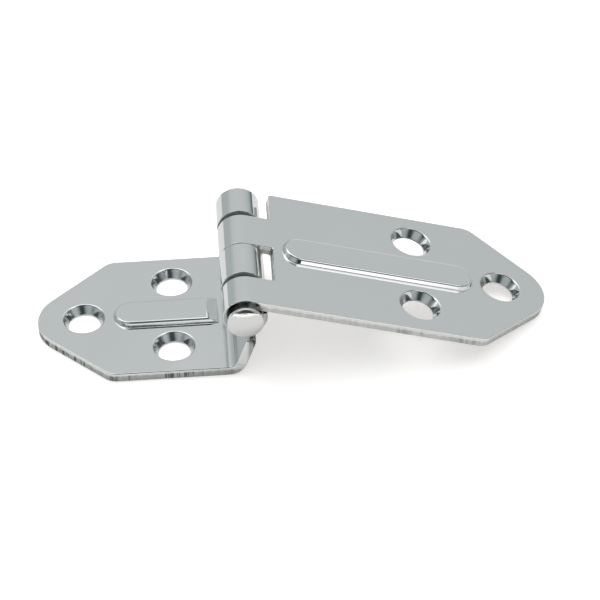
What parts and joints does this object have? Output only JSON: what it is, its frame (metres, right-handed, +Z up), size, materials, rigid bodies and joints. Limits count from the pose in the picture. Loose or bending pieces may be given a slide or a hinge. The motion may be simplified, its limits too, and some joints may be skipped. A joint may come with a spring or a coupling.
{
  "type": "offset hatch hinge",
  "caption": "Polished offset hatch hinge: stamped leaves with pressed ribs, countersunk screw holes and curled knuckles on a headed pin, the fixed leaf stepped up on a bent web.",
  "frame": {"origin": "on the fixed leaf's mounting face, midway between its side screw holes", "axes": "+Z up from the mounting face, +X along the hinge from the fixed leaf towards the hatch leaf, +Y along the pin"},
  "size_m": [0.1151, 0.0431, 0.0224],
  "materials": {
    "polished_leaf": "mirror polished stainless steel sheet",
    "polished_pin": "polished stainless steel rivet"
  },
  "bodies": {
    "fixed": {"fixed_leaf": "polished_leaf", "hinge_pin": "polished_pin"},
    "hatch": {"hatch_leaf": "polished_leaf"}
  },
  "joints": [
    {"name": "hatch_swing", "type": "hinge", "parent": "fixed", "child": "hatch", "pos_m": [0.01605, 0, 0.0175], "axis": [0, -1, 0], "range_deg": [-65, 200]}
  ]
}
